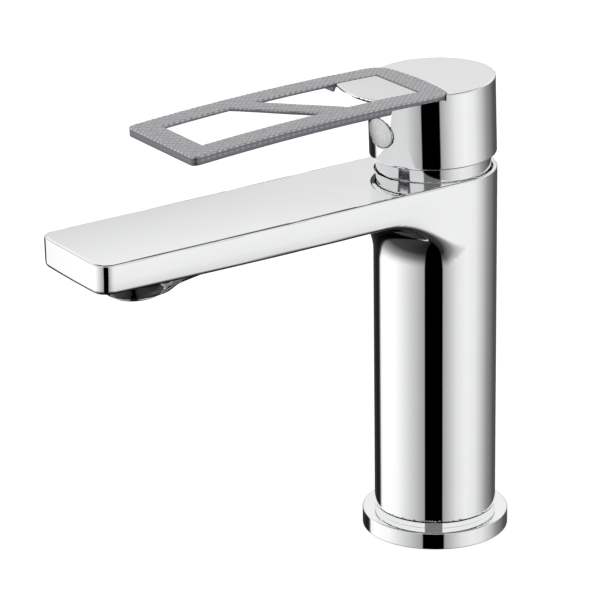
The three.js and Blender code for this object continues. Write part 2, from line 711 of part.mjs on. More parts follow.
// Small pan-head screws that hold the frame from inside the hub.
function frameScrew([x, y]) {
  const seat = SOCKET_TOP - CLEARANCE;
  const head = rod(2, seat - 0.9, seat, x, y, 16);
  const shank = rod(1, seat - 0.1, leverTopAt(y) - 1, x, y, 12);
  return join(head, shank);
}
place("frame_screw_left", frameScrew(frameScrewPlaces[0]), steel(), cartridgeGroup);
place("frame_screw_right", frameScrew(frameScrewPlaces[1]), steel(), cartridgeGroup);

function setScrew() {
  const grub = rod(SCREW_R, SPINDLE_W / 2 + 0.1, SPINDLE_W / 2 + 8, 0, 0, 16);
  const key = raised(shapeOf(arc(0, 0, 1.1, 0, 300, 5)), SPINDLE_W / 2 + 5, 20);
  return cut(grub, key).rotate([90, 0, 0]).translate([0, 0, SCREW_Z]);
}
place("set_screw", setScrew(), steel(), cartridgeGroup);

// Oval plug, flush with the hub's wall, that hides the set screw.
function indexButton() {
  const plate = ovalPlate(HUB_R - BUTTON_T, HUB_R, 0);
  const stem = rod(STEM_R, HUB_WALL_R - 0.6, HUB_R - 0.6, 0, 0, 24)
    .rotate([90, 0, 0])
    .translate([0, 0, SCREW_Z]);
  return join(plate, stem);
}
place("index_button", indexButton(), chrome(), cartridgeGroup);

// ---- Aerator ------------------------------------------------------------------------------------------
const SLEEVE_R = AERATOR_BORE_R - CLEARANCE;
const INSERT_R = 7;

function aeratorHousing() {
  return turned([
    [INSERT_R - 0.5, -1.4],
    [AERATOR_R - 1.4, -1.4],
    [AERATOR_R, -0.6],
    [AERATOR_R, -CLEARANCE],
    [SLEEVE_R, -CLEARANCE],
    [SLEEVE_R, 6.6],
    [INSERT_R + 0.2, 6.6],
    [INSERT_R + 0.2, -0.3],
    [INSERT_R - 0.5, -0.3],
  ], 32);
}
place("aerator_housing", aeratorHousing(), chrome(), aeratorGroup);

// Plastic insert whose lower face is a grid of square holes.
function aeratorInsert() {
  const cup = cut(rod(INSERT_R, 0, 5, 0, 0, 28), rod(INSERT_R - 1, 1.4, 6, 0, 0, 28));
  const pitch = 2.3;
  const hole = 1.6;
  const reach = 2;
  const holes = [];
  for (let i = -reach; i <= reach; i += 1) {
    for (let j = -reach; j <= reach; j += 1) {
      const [x, y] = [i * pitch, j * pitch];
      if (Math.hypot(x, y) > INSERT_R - 1.8) continue;
      holes.push(block(x - hole / 2, x + hole / 2, y - hole / 2, y + hole / 2, -1, 2));
    }
  }
  return cut(cup, ...holes);
}
place("aerator_insert", aeratorInsert(), aeratorPlastic(), aeratorGroup);
place("aerator_screen", ring(INSERT_R, 0.8, 5.3, 6.1, 32), steel(), aeratorGroup);
place("aerator_washer", ring(SLEEVE_R - 0.2, 5.8, 6.9, 8.4, 28), rubber(), aeratorGroup);

export default mixer;
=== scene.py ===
import json
import math

import bpy
import numpy as np
from mathutils import Matrix, Vector


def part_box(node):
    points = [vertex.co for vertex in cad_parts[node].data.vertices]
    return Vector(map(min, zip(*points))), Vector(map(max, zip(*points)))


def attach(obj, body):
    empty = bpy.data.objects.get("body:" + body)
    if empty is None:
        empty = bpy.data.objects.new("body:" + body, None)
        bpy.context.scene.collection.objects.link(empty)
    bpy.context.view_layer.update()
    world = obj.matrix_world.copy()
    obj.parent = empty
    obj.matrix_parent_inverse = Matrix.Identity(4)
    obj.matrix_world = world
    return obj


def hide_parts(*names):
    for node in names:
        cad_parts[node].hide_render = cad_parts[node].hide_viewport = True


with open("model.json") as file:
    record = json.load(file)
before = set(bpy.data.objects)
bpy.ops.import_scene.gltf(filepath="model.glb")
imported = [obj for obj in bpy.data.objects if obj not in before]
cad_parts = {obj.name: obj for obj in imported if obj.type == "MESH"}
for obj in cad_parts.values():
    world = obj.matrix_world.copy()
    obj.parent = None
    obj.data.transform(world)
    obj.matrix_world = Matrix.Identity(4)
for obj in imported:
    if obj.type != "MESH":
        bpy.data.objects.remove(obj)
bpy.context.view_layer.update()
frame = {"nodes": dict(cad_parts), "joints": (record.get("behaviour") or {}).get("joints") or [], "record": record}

MM = 0.001


def box_mm(node):
    low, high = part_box(node)
    return low / MM, high / MM


def joint(name):
    return next(j for j in frame["joints"] if j["name"] == name)


# ---- Sizes ----------------------------------------------------------------------------------
BODY_LOW, BODY_HIGH = box_mm("faucet_body")
COLUMN_R = BODY_HIGH.x
SPOUT_TIP = -BODY_LOW.y
FLANGE_R = box_mm("base_flange")[1].x
TOP_Z = 130.5  # height of the body's top on the column's axis
TOP_SLOPE = 0.019
SPOUT_HALF_W = 20.3  # at the tip
PIVOT = Vector(joint("lever_lift")["pos_m"]) / MM
LEAN = math.atan2(-joint("lever_swivel")["axis"][1], joint("lever_swivel")["axis"][2])
AERATOR_Y, AERATOR_Z = -117, 110.2  # middle of the spout's mouth
AERATOR_LEAN = math.radians(3)

PIVOT_FRAME = Matrix.Translation(PIVOT) @ Matrix.Rotation(LEAN, 4, "X")
AERATOR_FRAME = Matrix.Translation((0, AERATOR_Y, AERATOR_Z)) @ Matrix.Rotation(AERATOR_LEAN, 4, "X")


# ---- Materials ------------------------------------------------------------------------------
NOISE_DETAIL = 6
NOISE_ROUGHNESS = 0.6
NOISE_LOW, NOISE_HIGH = 0.3, 0.7  # most of the noise lies between these


def surface(name, color, shade, metallic, roughness, grain, bump=0.0, stretch=(1, 1, 1)):
    """A material whose colour runs between color and shade, and roughness between two values,
    in a fine grain. grain is the size of its detail and bump the depth of its relief, in metres."""
    material = bpy.data.materials.new(name)
    material.use_nodes = True
    nodes, links = material.node_tree.nodes, material.node_tree.links
    shader = nodes["Principled BSDF"]
    shader.inputs["Metallic"].default_value = metallic

    place = nodes.new("ShaderNodeTexCoord")
    scaled = nodes.new("ShaderNodeMapping")
    scaled.inputs["Scale"].default_value = stretch
    links.new(place.outputs["Object"], scaled.inputs["Vector"])

    noise = nodes.new("ShaderNodeTexNoise")
    noise.inputs["Scale"].default_value = 1 / grain
    noise.inputs["Detail"].default_value = NOISE_DETAIL
    noise.inputs["Roughness"].default_value = NOISE_ROUGHNESS
    links.new(scaled.outputs["Vector"], noise.inputs["Vector"])

    tint = nodes.new("ShaderNodeValToRGB")
    tint.color_ramp.elements[0].position = NOISE_LOW
    tint.color_ramp.elements[0].color = (*color, 1)
    tint.color_ramp.elements[1].position = NOISE_HIGH
    tint.color_ramp.elements[1].color = (*shade, 1)
    links.new(noise.outputs["Fac"], tint.inputs["Fac"])
    links.new(tint.outputs["Color"], shader.inputs["Base Color"])

    polish = nodes.new("ShaderNodeMapRange")
    polish.inputs["From Min"].default_value = NOISE_LOW
    polish.inputs["From Max"].default_value = NOISE_HIGH
    polish.inputs["To Min"].default_value = roughness[0]
    polish.inputs["To Max"].default_value = roughness[1]
    links.new(noise.outputs["Fac"], polish.inputs["Value"])
    links.new(polish.outputs["Result"], shader.inputs["Roughness"])

    if bump:
        relief = nodes.new("ShaderNodeBump")
        relief.inputs["Strength"].default_value = 1
        relief.inputs["Distance"].default_value = bump
        links.new(noise.outputs["Fac"], relief.inputs["Height"])
        links.new(relief.outputs["Normal"], shader.inputs["Normal"])
    return material


CHROME = surface("chrome", (0.955, 0.96, 0.965), (0.94, 0.945, 0.95), 1, (0.02, 0.045), 0.012)
TURNED_CHROME = surface("turned_chrome", (0.9, 0.905, 0.91), (0.84, 0.845, 0.85), 1, (0.03, 0.09),
                        0.006, 2e-6, (1, 1, 14))
SATIN_CHROME = surface("satin_chrome", (0.66, 0.67, 0.67), (0.56, 0.57, 0.57), 1, (0.24, 0.34),
                       0.0015, 3e-6, (3, 3, 1))
KNURLED = surface("knurled_metal", (0.95, 0.95, 0.96), (0.84, 0.84, 0.87), 0.85, (0.27, 0.38),
                  0.0012, 3e-6)
BRASS = surface("brass", (0.74, 0.56, 0.28), (0.64, 0.47, 0.22), 1, (0.22, 0.4), 0.0015, 6e-6, (1, 1, 6))
STEEL = surface("steel", (0.62, 0.63, 0.65), (0.52, 0.53, 0.55), 1, (0.2, 0.35), 0.001, 4e-6, (1, 1, 5))
RUBBER = surface("rubber", (0.03, 0.03, 0.03), (0.018, 0.018, 0.02), 0, (0.6, 0.85), 0.0008, 1.5e-5)
WHITE_PLASTIC = surface("white_plastic", (0.82, 0.83, 0.82), (0.74, 0.76, 0.76), 0, (0.35, 0.5),
                        0.0008, 6e-6)
BLUE_PLASTIC = surface("blue_plastic", (0.14, 0.31, 0.47), (0.1, 0.25, 0.4), 0, (0.35, 0.5),
                       0.0008, 6e-6)
CERAMIC = surface("ceramic", (0.88, 0.86, 0.8), (0.78, 0.76, 0.7), 0, (0.06, 0.16), 0.0006, 1e-6)
GREY_PLASTIC = surface("grey_plastic", (0.4, 0.42, 0.44), (0.33, 0.35, 0.37), 0, (0.35, 0.55),
                       0.0007, 6e-6)


def fade_to_painted_shade(material, groove):
    """Paints shade: fades a material to the painted shade colour where its mesh's "crest" attribute of painted
    light falls from 1 to 0.
    """
    nodes, links = material.node_tree.nodes, material.node_tree.links
    base = nodes["Principled BSDF"].inputs["Base Color"]
    crest = nodes.new("ShaderNodeAttribute")
    crest.attribute_name = "crest"
    fade = nodes.new("ShaderNodeMixRGB")
    fade.inputs["Color1"].default_value = (*groove, 1)
    links.new(crest.outputs["Fac"], fade.inputs["Fac"])
    links.new(base.links[0].from_socket, fade.inputs["Color2"])
    links.new(fade.outputs["Color"], base)


# Painted shade in the knurl's grooves and on the lever's sides; the crests keep the lighter colour as painted
# highlights.
fade_to_painted_shade(KNURLED, groove=(0.19, 0.185, 0.205))

FINISHES = {
    "chrome": CHROME,
    "knurled_metal": KNURLED,
    "brass": BRASS,
    "steel": STEEL,
    "rubber": RUBBER,
    "white_plastic": WHITE_PLASTIC,
    "blue_plastic": BLUE_PLASTIC,
    "ceramic": CERAMIC,
    "grey_plastic": GREY_PLASTIC,
}


# ---- Making pieces --------------------------------------------------------------------------
def add_piece(name, points, faces, normals, place, finish, body, node, material=None):
    """A mesh from points in millimetres with a normal at each point, standing for a CAD node.
    Its finish picks its material unless another one is given."""
    mesh = bpy.data.meshes.new(name)
    mesh.from_pydata((np.asarray(points) * MM).tolist(), [], faces)
    to_row = Matrix.Translation(place.translation * MM) @ place.to_3x3().to_4x4()
    mesh.transform(to_row)
    turned = np.asarray(normals) @ np.array(place.to_3x3().transposed())
    mesh.normals_split_custom_set_from_vertices(turned.tolist())
    mesh.materials.append(material or FINISHES[finish])
    piece = bpy.data.objects.new(name, mesh)
    bpy.context.scene.collection.objects.link(piece)
    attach(piece, body)
    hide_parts(node)
    return piece


# ---- Solids from distance fields ------------------------------------------------------------
# A field gives, for arrays x, y, z in millimetres, a distance that is negative inside the solid.
def round_max(a, b, radius):
    """What two solids share, with its edge rounded."""
    corner = np.hypot(np.maximum(a + radius, 0), np.maximum(b + radius, 0))
    return np.minimum(np.maximum(a, b), -radius) + corner


def round_min(a, b, radius):
    """Two solids joined, with a round fillet between them."""
    corner = np.hypot(np.maximum(radius - a, 0), np.maximum(radius - b, 0))
    return np.maximum(np.minimum(a, b), radius) - corner


def rod(u, v, radius):
    """Distance from a round rod across the u and v axes."""
    return np.hypot(u, v) - radius


def slab(u, low, high):
    """Distance from a flat slab between two values of u."""
    return np.abs(u - (low + high) / 2) - (high - low) / 2


def outline(u, v, points):
    """Signed distance to a closed outline of (u, v) points."""
    nearest = np.full(np.shape(u + v), np.inf, np.float32)
    inside = np.zeros(np.shape(u + v), bool)
    for (u0, v0), (u1, v1) in zip(points, points[1:] + points[:1]):
        du, dv = u1 - u0, v1 - v0
        along = np.clip(((u - u0) * du + (v - v0) * dv) / (du * du + dv * dv), 0, 1)
        away = (u - u0 - along * du) ** 2 + (v - v0 - along * dv) ** 2
        nearest = np.minimum(nearest, away)
        if v0 != v1:
            crossing = u0 + (v - v0) * du / dv
            inside ^= ((v0 > v) != (v1 > v)) & (u < crossing)
    return np.sqrt(nearest) * np.where(inside, -1, 1)


CORNERS = [(i, j, k) for i in (0, 1) for j in (0, 1) for k in (0, 1)]
EDGES = [(a, b) for a in range(8) for b in range(a + 1, 8)
         if sum(abs(p - q) for p, q in zip(CORNERS[a], CORNERS[b])) == 1]


REFINEMENTS = 3  # times that each point is moved onto the surface
LEAST_STEEPNESS = 0.2  # keeps a move short where a field is nearly flat


def gradient(field, points, step=0.01):
    """Slope of a field along each axis, at each point."""
    slopes = []
    for axis in range(3):
        shift = np.zeros(3)
        shift[axis] = step
        slopes.append(field(*(points + shift).T) - field(*(points - shift).T))
    return np.stack(slopes, 1) / (2 * step)


def grid_line(start, *runs):
    """Positions along one axis of a grid, from start through runs of (cell size, end)."""
    line = [start]
    for cell, end in runs:
        count = math.ceil((end - line[-1]) / cell)
        line.extend(np.linspace(line[-1], end, count + 1)[1:])
    return np.array(line)


def field_mesh(field, axes):
    """Points, faces and normals of a field's zero surface: one point in each grid cell that the surface
    crosses, moved onto the surface, and one face around each grid edge that it crosses."""
    x, y, z = axes
    value = field(x[:, None, None], y[None, :, None], z[None, None, :]).astype(np.float32)
    inside = value < 0
    count = sum(inside[i:len(x) - 1 + i, j:len(y) - 1 + j, k:len(z) - 1 + k].astype(np.int8)
                for i, j, k in CORNERS)
    cells = np.argwhere((count > 0) & (count < 8))
    number = np.full(count.shape, -1, np.int32)
    number[tuple(cells.T)] = np.arange(len(cells))

    corner = np.stack([value[tuple((cells + c).T)] for c in CORNERS], 1)
    total, hits = np.zeros((len(cells), 3)), np.zeros(len(cells))
    for a, b in EDGES:
        crossed = (corner[:, a] < 0) != (corner[:, b] < 0)
        share = corner[:, a] / np.where(crossed, corner[:, a] - corner[:, b], 1)
        start, end = np.array(CORNERS[a]), np.array(CORNERS[b])
        total += np.where(crossed[:, None], start + share[:, None] * (end - start), 0)
        hits += crossed
    middle = total / hits[:, None]
    low = np.stack([line[i] for line, i in zip(axes, cells.T)], 1)
    size = np.stack([line[i + 1] for line, i in zip(axes, cells.T)], 1) - low
    points = low + middle * size
    for _ in range(REFINEMENTS):
        slope = gradient(field, points)
        steepness = np.maximum((slope ** 2).sum(1), LEAST_STEEPNESS)
        move = -(field(*points.T) / steepness)[:, None] * slope
        points += np.clip(move, -size / 2, size / 2)
    normals = gradient(field, points)
    normals /= np.linalg.norm(normals, axis=1)[:, None]

    faces = []
    for axis in range(3):
        along = [slice(None)] * 3
        first, second = list(along), list(along)
        first[axis], second[axis] = slice(0, -1), slice(1, None)
        entering = inside[tuple(second)] & ~inside[tuple(first)]
        leaving = inside[tuple(first)] & ~inside[tuple(second)]
        u, v = [a for a in range(3) if a != axis]
        for crossing, flip in ((entering, axis != 1), (leaving, axis == 1)):
            at = np.argwhere(crossing)
            around = []
            for du, dv in ((1, 1), (0, 1), (0, 0), (1, 0)):
                spot = at.copy()
                spot[:, u] -= du
                spot[:, v] -= dv
                around.append(number[tuple(spot.T)])
            quads = np.stack(around, 1)
            faces.append(quads[:, ::-1] if flip else quads)
    return points, np.concatenate(faces).tolist(), normals


def field_piece(name, field, axes, place, finish, body, node, painted_light=None, material=None):
    """A piece from a field; an optional function gives its points a "crest" value of painted light, from 0 for
    painted shade to 1 for a painted highlight.
    """
    points, faces, normals = field_mesh(field, axes)
    piece = add_piece(name, points, faces, normals, place, finish, body, node, material)
    if painted_light:
        crest = piece.data.attributes.new("crest", "FLOAT", "POINT")
        crest.data.foreach_set("value", painted_light(*points.T).astype(np.float32))
    return piece


# ---- Turned pieces --------------------------------------------------------------------------
def corners(profile, steps=6):
    """Points and outward normals along a closed counter-clockwise (radius, height, fillet) profile."""
    points, normals = [], []
    for i, (r, h, fillet) in enumerate(profile):
        here = Vector((r, h))
        before = Vector(profile[i - 1][:2])
        after = Vector(profile[(i + 1) % len(profile)][:2])
        arriving, leaving = (here - before).normalized(), (after - here).normalized()
        turn = math.atan2(arriving.x * leaving.y - arriving.y * leaving.x, arriving.dot(leaving))
        out = Vector((arriving.y, -arriving.x))
        side = math.copysign(1, turn)
        start = here - arriving * fillet * math.tan(abs(turn) / 2)
        centre = start - out * fillet * side
        for step in range(steps + 1):
            c, s = math.cos(turn * step / steps), math.sin(turn * step / steps)
            normal = Vector((out.x * c - out.y * s, out.x * s + out.y * c))
            points.append(centre + normal * fillet * side)
            normals.append(normal)
    return points, normals


def turned_piece(name, profile, place, finish, body, node, segments=160, material=None):
    """A ring: a closed profile turned about the local Z axis."""
    points, normals = [], []
    for p, n in zip(*corners(profile)):
        for s in range(segments):
            angle = 2 * math.pi * s / segments
            points.append((p.x * math.cos(angle), p.x * math.sin(angle), p.y))
            normals.append((n.x * math.cos(angle), n.x * math.sin(angle), n.y))
    faces = []
    for row in range(0, len(points), segments):
        next_row = (row + segments) % len(points)
        for s in range(segments):
            t = (s + 1) % segments
            faces.append((row + s, row + t, next_row + t, next_row + s))
    return add_piece(name, points, faces, normals, place, finish, body, node, material)


# ---- Body: column and spout -----------------------------------------------------------------
SKIRT_Z = 8.1  # foot of the column's skirt
SKIRT_EDGE_R = 0.3
SPIGOT_R, SPIGOT_Z = 16.7, 1.5  # the column's foot inside the flange
CORNER_R = 5  # corners of the spout's tip, seen from above
BLEND_R = 19  # column into the spout's underside
TOP_EDGE_R = 0.6
LOW_EDGE_R = 1.3
UNDER_Z, UNDER_Y = 117.5, -130  # lowest point of the spout's underside, which is one long arc
UNDER_ARC_R = 3125
SIDE_ARC_R = 105  # the spout's sides curve in towards its underside,
SIDE_ARC_DEPTH = 1.5  # from this far below its top,
SIDE_ARC_START, SIDE_ARC_FADE = 4, 26  # and more and more in front of the column's axis
TIP_ARC_R = 450  # the tip face bows outwards
TOP_CROWN, TOP_CROWN_FADE = 0.3, 60  # the top falls by this much to the spout's sides
TAPER = math.asin((COLUMN_R - SPOUT_HALF_W) / SPOUT_TIP)
BORE_EDGE_R = 0.3

# Boss around the aerator: radius and height in the aerator's frame, grown by its edge radius.
BOSS_SIDE = [(-1, 0.5), (10, 0.5), (10.7, 2.2), (12.2, 5), (14.6, 7.4), (14.6, 9), (-1, 9)]
BOSS_EDGE_R = 0.5
BOSS_BLEND_R = 3
# Keel behind the boss: how far behind the aerator's middle, and how high above it.
KEEL_SIDE = [(0, 1.2), (9, 1.5), (22, 3.6), (40, 7.2), (56, 10.6), (0, 10.6)]
KEEL_HALF_W = 8.5
KEEL_GROWTH = 1
KEEL_EDGE_R = 2.5
KEEL_BLEND_R = 4

# Bores and channels in the body.
CARTRIDGE_BORE_R, CARTRIDGE_FLOOR = 17.6, -24.3  # floor from the tilt axis
NECK_SEAT_R, NECK_SEAT_FLOOR = 20, 5.5  # floor from the tilt axis
BASE_BORE_R, BASE_BORE_TOP = 14.8, 68  # for the inlet block
PIPE_R, PIPE_X, PIPE_Y = 2.5, 6.2, 4.6
PIPE_LOW, PIPE_HIGH = 67, 99
RISER_HALF_W = 5  # of the sump under the cartridge and of the riser in front of it
SUMP_BACK, RISER_BACK, RISER_FRONT = -4, -16, -19.3
SUMP_LOW, SUMP_HIGH = 92.5, 98
CHANNEL_HALF_W = 16
CHANNEL_FRONT = -123
CHANNEL_LOW, CHANNEL_HIGH = 120.6, 126.2
SOCKET_R, SOCKET_DEPTH = 8.9, 9.4  # for the aerator
THROAT_R = 6.4
THROAT_LOW, THROAT_HIGH = 116, 125.2

# Grid cells: fine at the tip, the column and the edges, coarse along the plain stretches.
GRID_MARGIN = 1
BODY_CELL_X = 0.66
BODY_CELL_Y, SPOUT_CELL_Y = 0.72, 2
BODY_CELL_Z, COLUMN_CELL_Z, TOP_CELL_Z = 0.7, 2.2, 0.6
SPOUT_PLAIN_FROM, SPOUT_PLAIN_TO = -100, -40
COLUMN_PLAIN_FROM, COLUMN_PLAIN_TO = 10, 108


def to_frame(place, x, y, z):
    """Row coordinates in the frame of a place that only leans about X."""
    lean = math.atan2(place[2][1], place[1][1])
    c, s = math.cos(lean), math.sin(lean)
    dy, dz = y - place.translation.y, z - place.translation.z
    return x, dy * c + dz * s, dz * c - dy * s


def body_top(y):
    """Height of the flat top."""
    return TOP_Z + TOP_SLOPE * y


def spout_under(y):
    """Height of the spout's underside."""
    return UNDER_Z + (y - UNDER_Y) ** 2 / (2 * UNDER_ARC_R)


def spout_field(x, y, z, column):
    """The spout, joined to the column by a large fillet."""
    fade = np.clip((-y - SIDE_ARC_START) / SIDE_ARC_FADE, 0, 1)
    fade = fade * fade * (3 - 2 * fade)
    drop = np.maximum(body_top(y) - SIDE_ARC_DEPTH - z, 0)
    curve = fade * drop ** 2 / (2 * SIDE_ARC_R)
    side = np.abs(x) * math.cos(TAPER) - y * math.sin(TAPER) - COLUMN_R
    tip = rod(x, y + SPOUT_TIP - TIP_ARC_R, TIP_ARC_R)
    plan = round_max(side + curve, tip, CORNER_R)
    below = round_min(column, spout_under(y) - z, BLEND_R)
    return np.maximum(round_max(plan, below, LOW_EDGE_R), y)


def boss_field(x, y, z):
    """Boss around the aerator, and the keel that fades into the spout's underside."""
    bx, by, bz = to_frame(AERATOR_FRAME, x, y, z)
    boss = outline(rod(bx, by, 0), bz, BOSS_SIDE) - BOSS_EDGE_R
    keel = outline(y - AERATOR_Y, z - AERATOR_Z, KEEL_SIDE) - KEEL_GROWTH
    keel = round_max(keel, np.abs(x) - KEEL_HALF_W, KEEL_EDGE_R)
    return round_min(boss, keel, KEEL_BLEND_R)


def block(x, y, z, half_width, depths, heights):
    """Distance from a square-edged block, centred on x = 0."""
    return np.maximum(np.maximum(slab(x, -half_width, half_width), slab(y, *depths)), slab(z, *heights))


def waterways(x, y, z):
    """Everything that is bored out of the body."""
    px, py, pz = to_frame(PIVOT_FRAME, x, y, z)
    bore = np.maximum(rod(px, py, CARTRIDGE_BORE_R), CARTRIDGE_FLOOR - pz)
    recess = np.maximum(rod(px, py, NECK_SEAT_R), NECK_SEAT_FLOOR - pz)
    base = np.maximum(rod(x, y, BASE_BORE_R), z - BASE_BORE_TOP)
    pipes = np.maximum(rod(np.abs(x) - PIPE_X, y - PIPE_Y, PIPE_R), slab(z, PIPE_LOW, PIPE_HIGH))
    sump = block(x, y, z, RISER_HALF_W, (RISER_FRONT, SUMP_BACK), (SUMP_LOW, SUMP_HIGH))
    riser = block(x, y, z, RISER_HALF_W, (RISER_FRONT, RISER_BACK), (SUMP_LOW, CHANNEL_HIGH))
    channel = block(x, y, z, CHANNEL_HALF_W, (CHANNEL_FRONT, RISER_BACK), (CHANNEL_LOW, CHANNEL_HIGH))
    ax, ay, az = to_frame(AERATOR_FRAME, x, y, z)
    socket = np.maximum(rod(ax, ay, SOCKET_R), az - SOCKET_DEPTH)
    throat = np.maximum(rod(x, y - AERATOR_Y, THROAT_R), slab(z, THROAT_LOW, THROAT_HIGH))
    void = np.minimum(bore, recess)
    for part in (base, pipes, sump, riser, channel, socket, throat):
        void = np.minimum(void, part)
    return void


def body_field(x, y, z):
    column = round_max(rod(x, y, COLUMN_R), SKIRT_Z - z, SKIRT_EDGE_R)
    spigot = np.maximum(rod(x, y, SPIGOT_R), SPIGOT_Z - z)
    body = np.minimum(np.minimum(column, spigot), spout_field(x, y, z, column))
    body = round_min(body, boss_field(x, y, z), BOSS_BLEND_R)
    crown = TOP_CROWN * (x / SPOUT_HALF_W) ** 2 * np.clip((-y - COLUMN_R) / TOP_CROWN_FADE, 0, 1)
    body = round_max(body, z - body_top(y) + crown, TOP_EDGE_R)
    return round_max(body, -waterways(x, y, z), BORE_EDGE_R)


BODY_GRID = (
    grid_line(-COLUMN_R - GRID_MARGIN, (BODY_CELL_X, COLUMN_R + GRID_MARGIN)),
    grid_line(-SPOUT_TIP - GRID_MARGIN, (BODY_CELL_Y, SPOUT_PLAIN_FROM), (SPOUT_CELL_Y, SPOUT_PLAIN_TO),
              (BODY_CELL_Y, COLUMN_R + GRID_MARGIN)),
    grid_line(SPIGOT_Z - GRID_MARGIN, (BODY_CELL_Z, COLUMN_PLAIN_FROM), (COLUMN_CELL_Z, COLUMN_PLAIN_TO),
              (TOP_CELL_Z, TOP_Z + 2 * GRID_MARGIN)),
)
field_piece("body_shell", body_field, BODY_GRID, Matrix.Identity(4), "chrome", "root", "faucet_body")

# ---- Base flange ----------------------------------------------------------------------------
FLANGE_BORE_R = 17
FLANGE_T = 6
COLLAR_R = COLUMN_R - 0.2
COLLAR_TOP = 7.8
GROOVE_INNER_R, GROOVE_OUTER_R, GROOVE_DEPTH = 17.9, 22.8, 1.9  # holds the seal
turned_piece("flange_ring", [
    (FLANGE_BORE_R, 2.5, 0.2), (FLANGE_BORE_R, 0, 0.3), (GROOVE_INNER_R, 0, 0.2),
    (GROOVE_INNER_R, GROOVE_DEPTH, 0.1), (GROOVE_OUTER_R, GROOVE_DEPTH, 0.1), (GROOVE_OUTER_R, 0, 0.2),
    (FLANGE_R, 0, 0.3), (FLANGE_R, FLANGE_T, 0.5), (COLLAR_R, FLANGE_T, 0.1),
    (COLLAR_R, COLLAR_TOP, 0.15), (FLANGE_BORE_R, COLLAR_TOP, 0.3),
], Matrix.Identity(4), "chrome", "root", "base_flange")

# ---- Neck between the body and the hub (heights from the tilt axis) -------------------------
NECK_R, NECK_INNER_R = 19.5, 17.2
NECK_FOOT, NECK_WALL_TOP = 6.3, 14.16
DOME_R = 24.1  # the neck's shoulder is part of a sphere about the tilt axis
DOME_TOP, DOME_HOLE_R = 18, 12.6
RING_SEAT_R = NECK_R - 1.5  # the O-ring's groove
RING_SEAT_LOW, RING_SEAT_HIGH = 6.7, 8.7
turned_piece("neck_ring", [
    (NECK_INNER_R, NECK_FOOT, 0.1), (NECK_R, NECK_FOOT, 0.1), (NECK_R, RING_SEAT_LOW, 0.1),
    (RING_SEAT_R, RING_SEAT_LOW, 0.1), (RING_SEAT_R, RING_SEAT_HIGH, 0.1), (NECK_R, RING_SEAT_HIGH, 0.1),
    (NECK_R, NECK_WALL_TOP, 0.2), (17.9, 16.14, DOME_R), (16, DOME_TOP, 0.3),
    (DOME_HOLE_R, DOME_TOP, 0.2), (DOME_HOLE_R, 16.6, 0.2), (15, 16.4, 0.3), (NECK_INNER_R, 13.5, 0.3),
], PIVOT_FRAME, "chrome", "root", "neck_dome", material=TURNED_CHROME)

# ---- Handle hub (in the frame of the tilt axis) ---------------------------------------------
HUB_R = 21.5
HUB_TOP, HUB_TOP_SLOPE = 40.34, 0.0194
HUB_WALL_R = 19.8
HUB_RIM_Z = 14.2
HUB_RIM_EDGE_R, HUB_TOP_EDGE_R = 0.5, 0.4
HUB_BOSS_R, HUB_BOSS_LOW = 6.2, 22  # stands around the spindle, inside the hub
SOCKET_HALF_W, SOCKET_TOP = 3.95, 35  # for the square spindle
SCREW_Z, SET_SCREW_R = 24.9, 2.1
BUTTON_HALF_W, BUTTON_HALF_H = 6.7, 4.9
BUTTON_T = 0.9
STEM_R = 3.4
STEM_HOLE_PAST = 1  # its hole runs this far past the hub's wall
LEVER_HALF_W = 21
LEVER_TIP = 105.2
LEVER_CREST_Y, LEVER_CREST_Z = -42.1, 41.16
LEVER_ARC_R = 990
LEVER_T = 3.1
LEVER_SEAT_T = 1.8  # where it lies on the hub
LEVER_PLATE_T = 1.3  # inside the outer rim of the free part
LEVER_RIM_W = 2.5
SEAT_FRONT_Y = -30.1
TONGUE_HALF_W = 16
TONGUE_R = 32.3  # round nose of the tongue under the lever
TONGUE_T = 0.5
TONGUE_REAR = 8  # it ends this far in front of the tilt axis
TONGUE_BLEND_R = 1.5
TONGUE_EDGE_R = 0.2
NOSE_DEPTH, NOSE_UNDERCUT = 1, 1.5  # the nose slants in under its upper edge
NOSE_CORNER_R = 1
PAD_DEPTH = 0.25  # the pad in the rear opening lies this far below the lever's top
PAD_CORNER_R = 0.5
GAP = 0.3  # between pieces that touch in the real tap
SEAM = 0.15  # gap around the lever's rear edge and around the button
SEAT_EDGE_R, POCKET_EDGE_R, HUB_BORE_EDGE_R = 0.06, 0.08, 0.15
REAR_ARC_R = 88
REAR_Y = -4.3
REAR_CORNER_R = 5
REAR_OPENING_Y = -13.6
INNER_HALF_W = 12.5
SCREW_X, SCREW_Y = 14.2, -9.5  # the two screws that hold the lever frame
SCREW_HOLE_R, SCREW_HOLE_LOW = 1.4, 30
HUB_CELL = 0.42


def lever_top(y):
    """The lever's top is one long arc; its crest lies in front of the hub."""
    return LEVER_CREST_Z - (y - LEVER_CREST_Y) ** 2 / (2 * LEVER_ARC_R)


def oval(x, z):
    """Distance from the outline of the index button, seen from the front."""
    u, v = x / BUTTON_HALF_W, (z - SCREW_Z) / BUTTON_HALF_H
    reach = np.hypot(u, v)
    return reach * (reach - 1) / np.maximum(np.hypot(u / BUTTON_HALF_W, v / BUTTON_HALF_H), 1e-3)


def rear_edge(x, y):
    """The frame's rear edge bows towards the back of the hub."""
    return rod(x, y - (REAR_Y - REAR_ARC_R), REAR_ARC_R)


